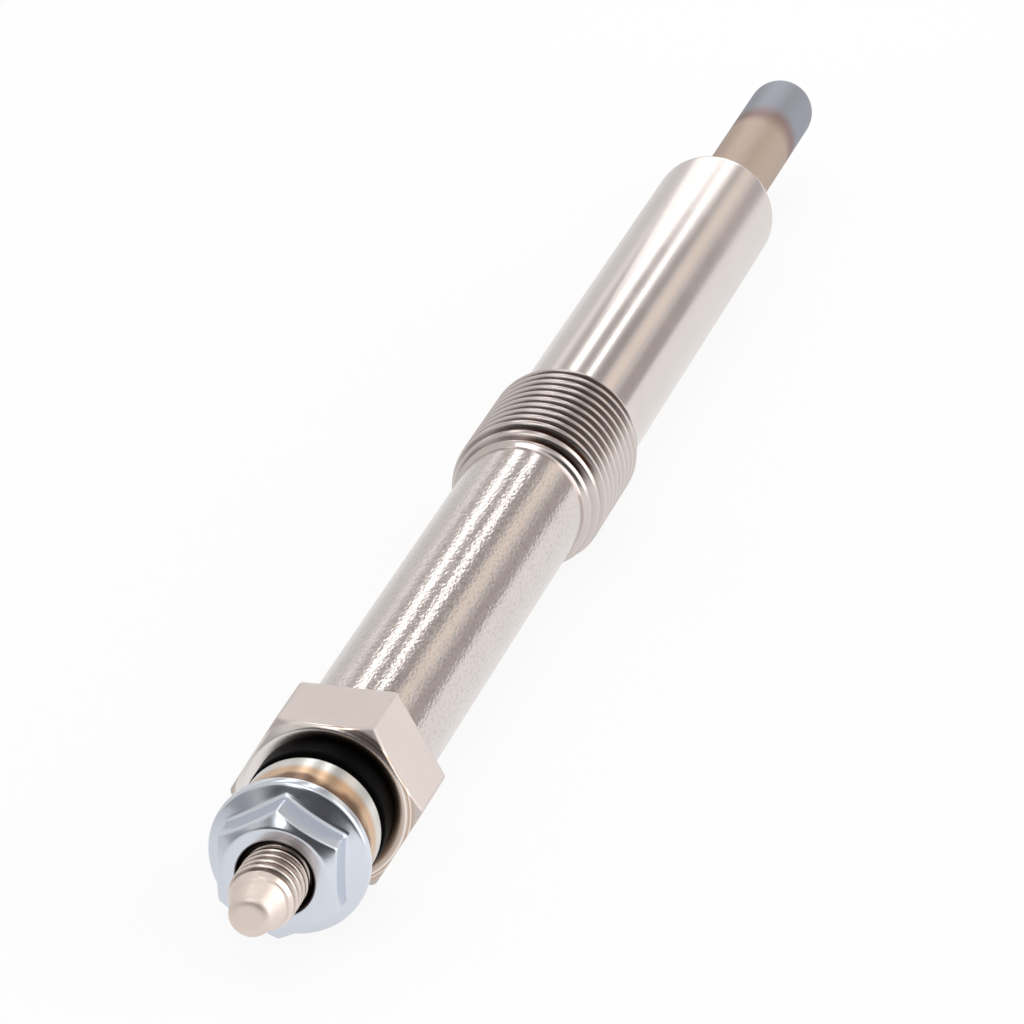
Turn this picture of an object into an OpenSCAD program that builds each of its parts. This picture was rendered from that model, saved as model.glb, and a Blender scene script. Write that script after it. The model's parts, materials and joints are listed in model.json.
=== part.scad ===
// Diesel glow plug with a sheathed heating rod, lying on a flat of its hexagon.
// Every piece is turned about one axis. Stations along that axis are measured from
// the terminal face of the hexagon: positive towards the hot tip, negative towards the terminal.

/* [Body] */
// Hexagon width across flats
hex_af = 10; // [9:0.5:14]
// Hexagon length along the axis
hex_len = 5.7; // [4:0.1:9]
// Diameter of the flat left by the turned bevel on the terminal face of the hexagon
hex_face_d = 9.6; // [8.9:0.05:9.9]
// Plain shank diameter between hexagon and thread
shank_d = 8.25; // [7:0.05:9]
// Plain shank length between hexagon and thread
shank_len = 38.8; // [20:0.1:60]
// Outside diameter of the mounting thread
thread_d = 10; // [9.6:0.1:12]
// Pitch of the mounting thread
thread_pitch = 1; // [0.75:0.25:1.5]
// Length of the mounting thread with its two ramps
thread_len = 12; // [10:0.2:24]
// Depth by which the first turns of the thread start below its outside
lead_in_drop = 0.6; // [0.1:0.05:0.8]
// Front shank diameter between thread and seat
front_d = 8.42; // [7.4:0.02:9]
// Front shank length between thread and seat
front_len = 41.7; // [20:0.1:60]
// Included angle of the sealing seat
seat_angle = 93; // [60:1:120]
// Diameter of the flat mouth in front of the seat
mouth_d = 5.5; // [5.3:0.1:6.4]

/* [Heating rod] */
// Outside diameter of the sheath
sheath_d = 4.6; // [4.2:0.1:5]
// Wall of the sheath
sheath_wall = 0.5; // [0.3:0.05:0.7]
// Length of sheath that stands out of the body
sheath_out = 21.6; // [14:0.1:30]
// Length of sheath pressed into the body
sheath_in = 29; // [20:0.5:36]
// Mean diameter of both coils
coil_d = 2; // [1.6:0.05:2.2]
// Wire diameter of both coils
wire_d = 0.36; // [0.24:0.02:0.46]
// Length of the heating coil behind the tip
heating_len = 12.6; // [8:0.2:14]
// Turns of the heating coil
heating_turns = 14; // [8:1:18]
// Length of the regulating coil
regulating_len = 17; // [10:0.5:20]
// Turns of the regulating coil
regulating_turns = 15; // [8:1:20]
// Length of the seal in the open end of the sheath
sheath_seal_len = 3.2; // [1.5:0.1:5]

/* [Terminal] */
// Diameter of the centre rod inside the body
rod_d = 3.5; // [3:0.1:3.8]
// Outside diameter of the terminal stud thread
stud_d = 4; // [3.9:0.1:5]
// Length of stud that stands out of the flange nut
stud_out = 5.2; // [3:0.1:8]
// Length of the plain pilot at the end of the stud
pilot_len = 1.5; // [0.8:0.1:2]
// Diameter of the pilot where it leaves the stud's thread
pilot_d = 3; // [2.6:0.1:3.4]
// Diameter of the flat end of the pilot
pilot_end_d = 2.4; // [1.6:0.1:2.5]
// Diameter of the black insulating bush outside the body
bush_d = 8.5; // [7.6:0.1:9]
// Height of the insulating bush outside the body
bush_h = 2.1; // [1:0.1:4]
// Diameter of the round nut
round_nut_d = 8.36; // [7:0.02:9]
// Height of the round nut
round_nut_h = 4.2; // [2.5:0.1:6]
// Bevel on both rims of the round nut
round_nut_bevel = 0.4; // [0.1:0.05:0.7]
// Flange nut width across flats
nut_af = 7; // [6.5:0.1:8]
// Overall height of the flange nut
nut_h = 3.5; // [2.5:0.1:6]
// Diameter of the flange
flange_d = 9.5; // [8.8:0.1:9.9]
// Thickness of the flange at its rim
flange_rim = 0.8; // [0.4:0.05:1]

/* [Hidden] */
$fn = 96;

// Clearances between pieces that fit together
press_gap = 0.01;
slide_gap = 0.04;
thread_gap = 0.05;
weld_gap = 0.01;
lead_gap = 0.02;
cut = 1;

// Standard turned angles
bevel_angle = 30;
flange_slope = 24;

// Body stations and radii
shank_r = shank_d / 2;
thread_r = thread_d / 2;
front_r = front_d / 2;
thread_start_r = thread_r - lead_in_drop;
lead_in_turns = 2;
at_thread = hex_len + shank_len;
at_lead_in = at_thread + thread_start_r - shank_r;
at_full_thread = at_lead_in + lead_in_turns * thread_pitch;
at_front = at_thread + thread_len;
at_thread_end = at_front - (thread_r - front_r);
at_seat = at_front + front_len;
at_mouth = at_seat + (front_r - mouth_d / 2) / tan(seat_angle / 2);
bore_r = sheath_d / 2 + press_gap;

// Seal pocket behind the insulating bush
rod_r = rod_d / 2;
pocket_step = 0.6;
pocket_r = bore_r + pocket_step;
seal_section_r = (pocket_r - rod_r) / 2 - slide_gap;
seal_mean_r = (pocket_r + rod_r) / 2;
bush_spigot = 3.8;
at_seal = bush_spigot + slide_gap + seal_section_r;
at_pocket_floor = at_seal + (seal_section_r + slide_gap) * sqrt(2) - (pocket_r - seal_mean_r);

// Heating rod stations and radii
at_tip = at_mouth + sheath_out;
at_sheath = at_mouth - sheath_in;
sheath_r = sheath_d / 2;
at_dome = at_tip - sheath_r;
fill_r = sheath_r - sheath_wall;
coil_r = coil_d / 2;
wire_r = wire_d / 2;
channel_r = coil_r + wire_r + slide_gap;
core_r = coil_r - wire_r - slide_gap;
at_heating = at_dome - heating_len;
at_regulating = at_heating - regulating_len;
nose_len = 3;
at_nose = at_regulating - wire_d;
at_nose_end = at_nose + nose_len;
at_fill = at_sheath + sheath_seal_len;
rod_front_r = channel_r - slide_gap;
rod_step_back = 2;
at_rod_step = at_sheath - rod_step_back;

// Terminal stations and radii
stud_r = stud_d / 2;
stud_bore_r = stud_r + thread_gap;
at_bush = -bush_h;
at_round_nut = at_bush - round_nut_h;
at_nut = at_round_nut - nut_h;
at_stud = at_nut - stud_out;
at_pilot = at_stud + pilot_len;
at_stud_thread = at_pilot + stud_r - pilot_d / 2;
// The stud's thread ends half way through the bush's flange
stud_thread_end = at_bush / 2;
nut_sink = 0.3;
nut_bevel = 0.4;
nut_face_r = nut_af / 2 - nut_bevel;
flange_tuck = 0.3;
flange_top_r = nut_af / 2 - flange_tuck;

// Place of the plug: axis level, lying on the hexagon's flat, middle of its length at the origin
axis_height = max(hex_af, thread_d) / 2;
middle = (at_stud + at_tip) / 2;

// Wire of the coils: steps of [angle, station] at the coil's mean radius
coil_steps_per_turn = 14;
wire_sides = 6;
exit_steps = 5;
exit_sweep = 50;
exit_len = 0.8;
// Share of a turn between the ends of the two coils at their weld
weld_turn = 0.01;
lead_angle = 360 * (weld_turn + heating_turns) + exit_sweep;
function coil_run(turn0, turns, from, length) = [
    for (i = [0 : turns * coil_steps_per_turn])
        let (u = i / (turns * coil_steps_per_turn)) [360 * (turn0 + turns * u), from + length * u]];

// Bend that turns the wire from around the axis to along it, then its straight end
function coil_exit(angle, from, reach) = concat(
    [for (i = [1 : exit_steps])
        let (u = 90 * i / exit_steps) [angle + exit_sweep * sin(u), from + exit_len * (1 - cos(u))]],
    [[angle + exit_sweep, from + exit_len + reach]]);

function coil_point(step) = [coil_r * cos(step[0]), coil_r * sin(step[0]), step[1]];

function unit(v) = v / norm(v);

// Ring of points square to the wire, from the outward direction and the wire's own direction
function wire_ring(before, step, after) =
    let (out = [cos(step[0]), sin(step[0]), 0],
         along = unit(coil_point(after) - coil_point(before)),
         level = unit(along - out * (along * out)),
         side = cross(level, out))
    [for (k = [0 : wire_sides - 1])
        coil_point(step) + wire_r * (cos(360 * k / wire_sides) * out + sin(360 * k / wire_sides) * side)];

// Wire swept along its steps as one closed surface
module coil_wire(steps) {
    last = len(steps) - 1;
    rings = [for (i = [0 : last])
        wire_ring(steps[max(i - 1, 0)], steps[i], steps[min(i + 1, last)])];
    points = [for (ring = rings) each ring];
    sides = [for (i = [0 : last - 1], k = [0 : wire_sides - 1])
        let (here = i * wire_sides, there = here + wire_sides, next = (k + 1) % wire_sides)
        each [[here + k, there + k, there + next], [here + k, there + next, here + next]]];
    start_cap = [for (k = [0 : wire_sides - 1]) k];
    end_cap = [for (k = [wire_sides - 1 : -1 : 0]) last * wire_sides + k];
    polyhedron(points, concat(sides, [start_cap, end_cap]), convexity = 10);
}

// Lays a piece drawn upwards from the hexagon's face down along the plug's axis
module lay() {
    translate([0, -middle, axis_height])
        rotate([-90, 0, 0])
            children();
}

// Solid of revolution between two stations
module turned(from, to, r1, r2) {
    translate([0, 0, from])
        cylinder(h = to - from, r1 = r1, r2 = r2);
}

// Rod with a round end
module domed_rod(from, dome, r) {
    turned(from, dome, r, r);
    translate([0, 0, dome])
        sphere(r = r);
}

// Hexagonal prism with a turned bevel on its lower end
module bevelled_hexagon(af, from, to, face_r) {
    corner_r = af / 2 / cos(30);
    clear_r = corner_r + cut;
    intersection() {
        translate([0, 0, from])
            cylinder(h = to - from, r = corner_r, $fn = 6);
        rotate_extrude()
            polygon([[0, from], [face_r, from],
                [clear_r, from + (clear_r - face_r) * tan(bevel_angle)], [clear_r, to + cut], [0, to + cut]]);
    }
}

// Turned steel body: hexagon, shank, thread, front shank and seat, bored through
module body_shell() {
    color("#b7aca6") lay() difference() {
        union() {
            bevelled_hexagon(hex_af, 0, hex_len, hex_face_d / 2);
            rotate_extrude()
                polygon([[0, hex_len / 2], [shank_r, hex_len / 2], [shank_r, at_thread],
                    [thread_start_r, at_lead_in], [thread_r, at_full_thread], [thread_r, at_thread_end],
                    [front_r, at_front], [front_r, at_seat], [mouth_d / 2, at_mouth], [0, at_mouth]]);
        }
        turned(-cut, at_mouth + cut, bore_r, bore_r);
        turned(-cut, at_pocket_floor, pocket_r, pocket_r);
        turned(at_pocket_floor, at_pocket_floor + pocket_step, pocket_r, bore_r);
    }
}

// Drawn tube with a closed round tip, pressed into the front of the body
module heater_sheath() {
    color("#b39c84") lay() difference() {
        domed_rod(at_sheath, at_dome, sheath_r);
        domed_rod(at_sheath - cut, at_dome, fill_r);
    }
}

// Fast front coil, its last turn bent along the axis and fused to the tip
module heating_coil() {
    reach = sqrt(pow(fill_r, 2) - pow(coil_r + wire_r, 2)) - weld_gap;
    wound = heating_len - exit_len;
    run = coil_run(weld_turn, heating_turns, at_heating, wound);
    color("#8a7f7a") lay() coil_wire(concat(run, coil_exit(lead_angle - exit_sweep, at_dome - exit_len, reach)));
}

// Rear coil, wound on the nose of the centre rod
module regulating_coil() {
    color("#9a948c") lay() coil_wire(coil_run(0, regulating_turns, at_regulating, regulating_len));
}

// Pressed magnesia powder around the coils, with the winding channel between core and wall
module insulating_fill() {
    color("#ece6da") lay() difference() {
        domed_rod(at_fill, at_dome, fill_r - press_gap);
        difference() {
            turned(at_fill - cut, at_dome, channel_r, channel_r);
            turned(at_nose_end + slide_gap, at_dome + cut, core_r, core_r);
        }
        rotate([0, 0, lead_angle])
            translate([coil_r, 0, at_dome - cut])
                cylinder(h = fill_r + cut, r = wire_r + lead_gap);
    }
}

// Steel rod through the body: threaded stud at the terminal, slim nose inside the first coil
module centre_rod() {
    color("#c5b6aa") lay() rotate_extrude()
        polygon([[0, at_stud], [pilot_end_d / 2, at_stud], [pilot_d / 2, at_pilot],
            [stud_r, at_stud_thread], [stud_r, stud_thread_end],
            [rod_r, stud_thread_end + stud_r - rod_r], [rod_r, at_rod_step],
            [rod_front_r, at_rod_step + rod_r - rod_front_r], [rod_front_r, at_nose],
            [core_r, at_nose], [core_r, at_nose_end], [0, at_nose_end]]);
}

// Elastomer ring that closes the open end of the sheath round the rod
module sheath_seal() {
    color("#3a3330") lay() difference() {
        turned(at_sheath, at_fill - press_gap, fill_r - press_gap, fill_r - press_gap);
        turned(at_sheath - cut, at_fill + cut, rod_front_r + press_gap, rod_front_r + press_gap);
    }
}

// Rubber ring squeezed between the bush, the rod and the cone of the pocket
module body_seal_ring() {
    color("#1c1b1b") lay() translate([0, 0, at_seal]) rotate_extrude()
        translate([seal_mean_r, 0])
            circle(r = seal_section_r);
}

// Moulded black bush: flange under the round nut and spigot in the body's pocket
module insulating_bush() {
    color("#161515") lay() difference() {
        union() {
            turned(at_bush, 0, bush_d / 2, bush_d / 2);
            turned(-bush_h / 2, bush_spigot, pocket_r - slide_gap, pocket_r - slide_gap);
        }
        turned(at_bush - cut, bush_spigot + cut, stud_bore_r, stud_bore_r);
    }
}

// Round nut that clamps the bush, bevelled on both rims
module round_nut() {
    r = round_nut_d / 2;
    b = round_nut_bevel;
    color("#bfa68c") lay() difference() {
        rotate_extrude()
            polygon([[0, at_round_nut], [r - b, at_round_nut], [r, at_round_nut + b],
                [r, at_bush - b], [r - b, at_bush], [0, at_bush]]);
        turned(at_round_nut - cut, at_bush + cut, stud_bore_r, stud_bore_r);
    }
}

// Terminal nut: sloped flange under a bevelled hexagon, with countersunk thread mouths
module flange_nut() {
    rim_r = flange_d / 2;
    at_rim = at_round_nut - flange_rim;
    at_flange_top = at_rim - (rim_r - flange_top_r) * tan(flange_slope);
    mouth_r = stud_bore_r + nut_sink;
    color("#c3c6cd") lay() difference() {
        union() {
            rotate([0, 0, 30])
                bevelled_hexagon(nut_af, at_nut, at_round_nut - flange_rim / 2, nut_face_r);
            rotate_extrude()
                polygon([[0, at_round_nut], [rim_r, at_round_nut], [rim_r, at_rim],
                    [flange_top_r, at_flange_top], [0, at_flange_top]]);
        }
        turned(at_nut - cut, at_round_nut + cut, stud_bore_r, stud_bore_r);
        turned(at_nut, at_nut + nut_sink, mouth_r, stud_bore_r);
        turned(at_round_nut - nut_sink, at_round_nut, stud_bore_r, mouth_r);
    }
}

body_shell();
heater_sheath();
heating_coil();
regulating_coil();
insulating_fill();
centre_rod();
sheath_seal();
body_seal_ring();
insulating_bush();
round_nut();
flange_nut();
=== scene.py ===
"""Looks of a diesel glow plug: plated surfaces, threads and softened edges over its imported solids.

Every visible piece is a surface turned about the plug's axis. It is worked out on a grid whose rows run
along a profile of (radius, station) and whose columns run round the axis. A station is a place on the
Y axis in metres, and an angle is measured from straight up towards +X.
"""
import json
import math

import bpy
import numpy as np
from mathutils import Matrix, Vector


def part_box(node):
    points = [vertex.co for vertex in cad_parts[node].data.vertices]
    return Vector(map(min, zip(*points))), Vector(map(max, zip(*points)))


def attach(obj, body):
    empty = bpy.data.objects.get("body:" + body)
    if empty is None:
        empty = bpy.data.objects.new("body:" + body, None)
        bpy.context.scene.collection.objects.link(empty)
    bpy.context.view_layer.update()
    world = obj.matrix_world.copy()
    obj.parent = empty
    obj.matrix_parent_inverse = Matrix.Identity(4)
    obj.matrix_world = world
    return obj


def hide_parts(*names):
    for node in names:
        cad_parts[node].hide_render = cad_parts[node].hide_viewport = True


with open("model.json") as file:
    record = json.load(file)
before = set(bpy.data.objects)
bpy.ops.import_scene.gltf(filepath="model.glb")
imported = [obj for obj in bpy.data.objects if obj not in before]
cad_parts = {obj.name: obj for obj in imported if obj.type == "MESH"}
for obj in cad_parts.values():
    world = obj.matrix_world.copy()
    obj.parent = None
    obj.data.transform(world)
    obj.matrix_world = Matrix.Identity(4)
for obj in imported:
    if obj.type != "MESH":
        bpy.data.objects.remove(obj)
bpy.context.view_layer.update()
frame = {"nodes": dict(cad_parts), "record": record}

bl_info = {
    "name": "Glow Plug",
    "version": (1, 0, 0),
    "blender": (4, 5, 0),
    "location": "View3D > Sidebar > Glow Plug",
    "description": "Builds the finished surfaces of a diesel glow plug on its packed solids",
    "category": "Mesh",
}

MM = 0.001
# Softening of a turned edge that was only broken, and spacing of the rows along the two threads
EDGE = 0.1 * MM
THREAD_ROW = 0.05 * MM
STUD_ROW = 0.04 * MM
# Rise of the bevels on both hexagons and of the flange's upper side, for each unit across
BEVEL_RISE = math.tan(math.radians(30))
FLANGE_RISE = math.tan(math.radians(24))


def reach(node):
    """Station where a node starts, station where it ends, and half its width across X."""
    low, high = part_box(node)
    return low.y, high.y, (high.x - low.x) / 2


AXIS_Z = sum(corner.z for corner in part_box("heater_sheath")) / 2
HEX_FACE, MOUTH, HEX_CORNER_R = reach("body_shell")
SHEATH_REAR, TIP, SHEATH_R = reach("heater_sheath")
STUD_END, NOSE_END, STUD_R = reach("centre_rod")
BUSH_FACE, SPIGOT_END, BUSH_R = reach("insulating_bush")
ROUND_NUT_FACE, ROUND_NUT_SEAT, ROUND_NUT_R = reach("round_nut")
NUT_FACE, NUT_SEAT, RIM_R = reach("flange_nut")
HEX_APOTHEM = HEX_CORNER_R * math.cos(math.radians(30))
MOUNTING_THREAD = next(m for m in frame["record"]["mounts"] if m["name"] == "mounting_thread")
THREAD_R = MOUNTING_THREAD["dims"]["r_mm"] * MM
THREAD_MIDDLE = MOUNTING_THREAD["pos_m"][1]
FULL_START = THREAD_MIDDLE - MOUNTING_THREAD["dims"]["length_mm"] * MM / 2
FULL_END = THREAD_MIDDLE + MOUNTING_THREAD["dims"]["length_mm"] * MM / 2


def linear(hex_colour):
    """Linear red, green and blue of an sRGB colour written as #RRGGBB."""
    srgb = np.array([int(hex_colour[i:i + 2], 16) for i in (1, 3, 5)]) / 255
    return tuple(np.where(srgb <= 0.04045, srgb / 12.92, ((srgb + 0.055) / 1.055) ** 2.4).tolist())


def length(name, description, millimetres):
    """A length that the user may change, given in millimetres."""
    return bpy.props.FloatProperty(name=name, description=description, default=millimetres * MM,
                                   min=0.0, precision=5, unit="LENGTH")


def colour(name, description, hex_colour):
    """A colour that the user may change."""
    return bpy.props.FloatVectorProperty(name=name, description=description, default=linear(hex_colour),
                                         min=0.0, max=1.0, size=3, subtype="COLOR")


class PlugSizes(bpy.types.PropertyGroup):
    """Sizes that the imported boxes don't give."""
    hex_length: length("Hexagon length", "Length of the hexagon along the axis", 5.7)
    hex_face: length("Hexagon face", "Diameter of the flat left by the bevel on the hexagon", 9.6)
    hex_edge: length("Hexagon edge", "Radius of the hexagon's six rounded edges", 0.3)
    shank: length("Shank", "Diameter of the plain shank behind the thread", 8.25)
    front: length("Front shank", "Diameter of the plain shank in front of the thread", 8.42)
    front_length: length("Front shank length", "Length of the plain shank in front of the thread", 41.7)
    thread_length: length("Thread length", "Length of the mounting thread with its two ramps", 12.0)
    thread_pitch: length("Thread pitch", "Pitch of the mounting thread", 1.0)
    thread_depth: length("Thread depth", "Depth of the mounting thread's groove", 0.65)
    lead_in: length("Lead-in", "Depth by which the first turns start below the thread's outside", 0.6)
    mouth: length("Mouth", "Diameter of the flat mouth in front of the seat", 5.5)
    pocket: length("Pocket", "Diameter of the seal pocket behind the bush", 5.82)
    pocket_depth: length("Pocket depth", "Depth of the seal pocket up to its cone", 4.62)
    fit: length("Fit", "Gap all round between the sheath and the body's bore", 0.01)
    sheath_wall: length("Sheath wall", "Wall of the heating rod's sheath", 0.5)
    pilot: length("Pilot", "Diameter of the stud's plain pilot at its root", 3.0)
    pilot_end: length("Pilot end", "Diameter of the pilot's flat end", 2.4)
    pilot_length: length("Pilot length", "Length of the stud's plain pilot", 1.5)
    stud_lead: length("Stud lead-in", "Length of the taper from the pilot into the stud's thread", 1.2)
    stud_pitch: length("Stud pitch", "Pitch of the stud's thread", 0.7)
    stud_depth: length("Stud depth", "Depth of the stud thread's groove", 0.36)
    rod: length("Centre rod", "Diameter of the centre rod inside the body", 3.5)
    rod_front: length("Rod front", "Diameter of the rod inside the sheath", 2.36)
    rod_nose: length("Rod nose", "Diameter of the rod's nose inside the coil", 1.56)
    nose_length: length("Nose length", "Length of the rod's nose", 3.0)
    rod_step: length("Rod step", "Distance from the rod's step to the sheath behind it", 2.0)
    stud_bore: length("Stud bore", "Diameter of the bores that the stud passes through", 4.1)
    spigot: length("Spigot", "Diameter of the bush's spigot", 5.74)
    round_bevel: length("Round nut bevel", "Bevel on both rims of the round nut", 0.4)
    nut_flats: length("Nut flats", "Width of the flange nut across its flats", 7.0)
    nut_face: length("Nut face", "Diameter of the flat left by the bevel on the flange nut", 6.2)
    nut_edge: length("Nut edge", "Radius of the flange nut's six rounded edges", 0.22)
    nut_sink: length("Countersink", "Depth of the countersinks in the flange nut", 0.3)
    flange_rim: length("Flange rim", "Thickness of the flange at its rim", 0.8)


class PlugColours(bpy.types.PropertyGroup):
    """Colours of the finishes, of the painted shade and reflections on them, and of the floor."""
    nickel: colour("Nickel", "Bright nickel plate on the body", "#DAD0CC")
    # Painted brown shade in the stud's grooves and round the bush on the hexagon's faced end
    brown_shade: colour("Brown shade", "Brown painted shade in the stud's grooves and round the bush", "#5A463A")
    # Painted brown-black shade in the mounting thread's grooves
    thread_groove_shade: colour("Thread groove shade", "Brown-black painted shade in the mounting thread's grooves", "#442511")
    face: colour("Face", "Freshly faced end of the hexagon", "#F0E9E5")
    face_wear: colour("Face wear", "Tan wear in the rings of the hexagon's faced end", "#C2AA97")
    stud: colour("Stud", "Pink champagne tint of the stud", "#F2E4DB")
    sheath: colour("Sheath", "Heat-resisting steel of the sheath", "#B4A194")
    sheath_edge: colour("Sheath tint edge", "Purple-brown edge of the heat tint", "#8C7672")
    sheath_tip: colour("Sheath tip", "Blue-grey heat tint of the hot tip", "#92959E")
    zinc: colour("Zinc", "Clear-passivated zinc of the flange nut", "#D8DDE6")
    round_nut: colour("Round nut", "Golden plate of the round nut", "#D2B090")
    # Painted silver reflection along the round nut's edge by the bush
    round_nut_sheen: colour("Round nut sheen", "Painted silver reflection along the round nut's edge", "#DCDCD8")
    # Painted brown shade on the round nut's side by the flange nut
    round_nut_shade: colour("Round nut shade", "Painted brown shade on the round nut", "#7B5F4A")
    # Painted black shade in the flange nut's countersink
    countersink_shade: colour("Countersink shade", "Painted black shade in the flange nut's countersink", "#2A211C")
    bush: colour("Bush", "Black moulding of the bush", "#040404")
    wire: colour("Wire", "Oxidised resistance wire", "#6E6660")
    magnesia: colour("Magnesia", "Pressed magnesia powder", "#ECE6DA")
    rubber: colour("Rubber", "Seal rubber", "#191818")
    floor: colour("Floor", "Pale floor", "#F7F7F7")


def thread_stations(sizes):
    """Stations of the mounting thread's foot on the rear shank, of the end of its first ramp and of its
    foot on the front shank. Both ramps rise at 45 degrees, so each is as long as it is high."""
    front = FULL_END + THREAD_R - sizes.front / 2
    foot = front - sizes.thread_length
    ramp = foot + THREAD_R - sizes.lead_in - sizes.shank / 2
    return foot, ramp, front


def ring_angles(first_corner):
    """Angles of a grid's columns. Six sectors are centred on the corners of a hexagon, and a cubic
    spacing, a quarter even and the rest the cube of it, crowds the columns at each corner."""
    even = np.linspace(-1, 1, 26, endpoint=False)
    sector = math.radians(30) * (0.25 * even + 0.75 * even ** 3)
    corners = math.radians(first_corner) + np.arange(6) * math.radians(60)
    return (corners[:, None] + sector).ravel()


def hexagon_radius(angle, apothem, edge, first_corner):
    """Radius of a hexagon with rounded edges at each angle. On a flat it is the apothem over the cosine
    of the angle from that flat's middle. On an edge it is the far crossing with a circle of the edge's
    radius that touches both flats."""
    sector = math.radians(60)
    off = (angle - math.radians(first_corner) + sector / 2) % sector - sector / 2
    centre = (apothem - edge) / math.cos(sector / 2)
    on_edge = np.abs(off) < sector / 2 - math.atan2(centre * math.sin(sector / 2), apothem)
    under_root = np.maximum(edge ** 2 - (centre * np.sin(off)) ** 2, 0)
    return np.where(on_edge, centre * np.cos(off) + np.sqrt(under_root),
                    apothem / np.cos(sector / 2 - np.abs(off)))


def soft_profile(corners, columns, hold=0.12 * MM, steps=6, least=1e-6 * MM):
    """Rows of (radius, station) along a broken line. Each corner is (radius, station, softening), where
    radius and station are single values or one for each column. A softened corner is a quadratic curve
    that leaves one edge and meets the next one at the softening's distance from the corner, or at 0.45 of
    the edge if that is less. Two rows on each edge, close to its ends, keep its shading straight."""
    line = np.array([np.stack(np.broadcast_arrays(np.zeros(columns), r, y)[1:], -1) for r, y, _ in corners])
    edges = np.diff(line, axis=0)
    spans = np.maximum(np.linalg.norm(edges, axis=-1, keepdims=True), least)
    t = np.linspace(0, 1, steps)[:, None, None]
    rows = [line[:1]]
    for k in range(1, len(corners)):
        softening = corners[k][2] if k < len(corners) - 1 else 0.0
        cut = np.minimum(softening, 0.45 * np.minimum(spans[k - 1], spans[min(k, len(spans) - 1)]))
        start = rows[-1][-1]
        enter = line[k] - edges[k - 1] / spans[k - 1] * cut
        run = enter - start
        share = np.minimum(hold / np.maximum(np.linalg.norm(run, axis=-1, keepdims=True), least), 0.3)
        rows.append(np.stack([start + run * share, enter - run * share]))
        if softening == 0:
            rows.append(enter[None])
        else:
            leave = line[k] + edges[k] / spans[k] * cut
            rows.append((1 - t) ** 2 * enter + 2 * t * (1 - t) * line[k] + t ** 2 * leave)
    return np.concatenate(rows)


def thread_level(station, angle, start, pitch, root=0.14, crest=0.74):
    """Share of a right-hand thread's height, from 0 in the groove to 1 on the crest. The place in a turn
    is the distance from the thread's start in pitches less the angle in turns. Its distance from the
    groove's middle, in half pitches, is cut off where the root ends and the crest begins and is smoothed
    between them."""
    place = (station - start) / pitch - angle / math.tau
    off_groove = 2 * np.abs(place % 1 - 0.5)
    level = np.clip((off_groove - root) / (crest - root), 0, 1)
    return level * level * (3 - 2 * level)


def arc_corners(centre, radius, first, last, count):
    """Profile points on a circle about a point of the axis, from one angle off the axis to another. The
    distance from the axis goes with the angle's sine and the station with its cosine."""
    angle = np.radians(np.linspace(first, last, count))
    return list(zip(radius * np.sin(angle), centre + radius * np.cos(angle), np.zeros(count)))


def turned_piece(name, profile, angle, closed, material, node, groove=None):
    """Puts a grid of (radius, station) rows round the axis: X is the radius times the angle's sine and the
    height is that of the axis plus the radius times its cosine. A closed profile joins its last row to
    its first. An open one starts and ends on the axis, where its end rows become single points."""
    rows, columns = profile.shape[:2]
    points = np.stack([profile[..., 0] * np.sin(angle), profile[..., 1],
                       AXIS_Z + profile[..., 0] * np.cos(angle)], -1).reshape(-1, 3)
    values = np.zeros(rows * columns) if groove is None else groove.ravel()
    index = np.arange(rows * columns).reshape(rows, columns)
    if not closed:
        spare = columns - 1
        points, values = points[spare:-spare], values[spare:-spare]
        index = np.clip(index - spare, 0, len(points) - 1)
    below = index if closed else index[1:-2]
    above = np.roll(index, -1, axis=0) if closed else index[2:-1]
    faces = np.stack([below, np.roll(below, -1, 1), np.roll(above, -1, 1), above], -1).reshape(-1, 4).tolist()
    if not closed:
        ring, end = index[1], index[-2]
        faces += np.stack([index[0], np.roll(ring, -1), ring], -1).tolist()
        faces += np.stack([end, np.roll(end, -1), index[-1]], -1).tolist()
    mesh = bpy.data.meshes.new(name)
    mesh.from_pydata(points.tolist(), [], faces)
    mesh.polygons.foreach_set("use_smooth", np.ones(len(faces), bool))
    mesh.attributes.new("groove", "FLOAT", "POINT").data.foreach_set("value", values.astype(np.float32))
    if mesh.validate():
        raise RuntimeError(f"{name} has bad faces")
    piece = bpy.data.objects.new(name, mesh)
    bpy.context.scene.collection.objects.link(piece)
    mesh.materials.append(material)
    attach(piece, "root")
    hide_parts(node)


# A Map Range node that eases in and out
SMOOTH = {"interpolation_type": "SMOOTHSTEP"}


def add(tree, kind, inputs=None, **settings):
    """Adds a node with its settings, and links or fills its inputs."""
    node = tree.nodes.new(kind)
    for name, value in settings.items():
        setattr(node, name, value)
    for socket, value in (inputs or {}).items():
        if isinstance(value, bpy.types.NodeSocket):
            tree.links.new(value, node.inputs[socket])
        else:
            node.inputs[socket].default_value = value
    return node


def new_material(name):
    """An empty material with its output, its shader and the piece's own coordinates."""
    material = bpy.data.materials.new(name)
    material.use_nodes = True
    tree = material.node_tree
    tree.nodes.clear()
    shader = add(tree, "ShaderNodeBsdfPrincipled")
    add(tree, "ShaderNodeOutputMaterial", {"Surface": shader.outputs["BSDF"]})
    place = add(tree, "ShaderNodeTexCoord").outputs["Object"]
    return material, tree, shader, place


def axis_distance(tree, place):
    """Distance of a place from the plug's axis: the length of what is left of the place once the axis's
    height is taken off it and its station is made nought."""
    off_axis = add(tree, "ShaderNodeVectorMath", {0: place, 1: (0.0, 0.0, AXIS_Z)}, operation="SUBTRACT")
    across = add(tree, "ShaderNodeVectorMath", {0: off_axis.outputs[0], 1: (1.0, 0.0, 1.0)},
                 operation="MULTIPLY")
    return add(tree, "ShaderNodeVectorMath", {0: across.outputs[0]}, operation="LENGTH").outputs["Value"]


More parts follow.
